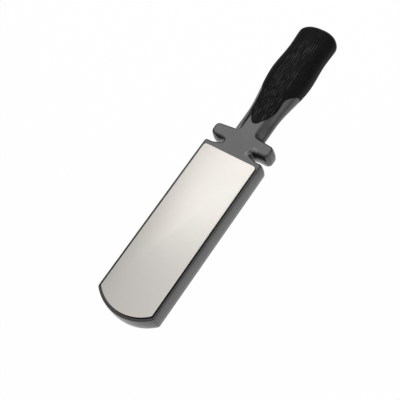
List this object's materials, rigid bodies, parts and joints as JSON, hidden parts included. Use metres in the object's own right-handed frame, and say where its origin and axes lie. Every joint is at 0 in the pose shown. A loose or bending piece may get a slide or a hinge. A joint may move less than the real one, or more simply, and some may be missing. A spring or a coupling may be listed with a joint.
{
  "type": "double-sided diamond sharpening paddle",
  "caption": "Flat round-tipped paddle with a fine and a coarse diamond plate bonded to its two faces, a notched guard and a soft-grip handle, drawn along a blade by hand to sharpen it",
  "frame": {"origin": "centre of the whole tool's bounding box, on the mid plane where the two body shells meet", "axes": "+Y along the handle, away from the paddle's round tip; +Z out of the fine plate's face; +X across the paddle"},
  "size_m": [0.0552, 0.29, 0.0254],
  "materials": {
    "grey_body_plastic": "satin moulded, dark grey",
    "black_soft_grip": "soft black elastomer, fine ribs",
    "diamond_plated_steel": "even satin, diamond grit in nickel",
    "adhesive_film": "dull pressure-sensitive film",
    "zinc_plated_screw": "bright zinc plate"
  },
  "bodies": {
    "root": {"upper_body_shell": "grey_body_plastic", "lower_body_shell": "grey_body_plastic", "soft_grip": "black_soft_grip", "fine_diamond_plate": "diamond_plated_steel", "coarse_diamond_plate": "diamond_plated_steel", "fine_plate_adhesive": "adhesive_film", "coarse_plate_adhesive": "adhesive_film", "paddle_screw_1": "zinc_plated_screw", "paddle_screw_2": "zinc_plated_screw", "paddle_screw_3": "zinc_plated_screw", "paddle_screw_4": "zinc_plated_screw", "paddle_screw_5": "zinc_plated_screw", "paddle_screw_6": "zinc_plated_screw", "handle_screw_1": "zinc_plated_screw", "handle_screw_2": "zinc_plated_screw"}
  },
  "joints": []
}
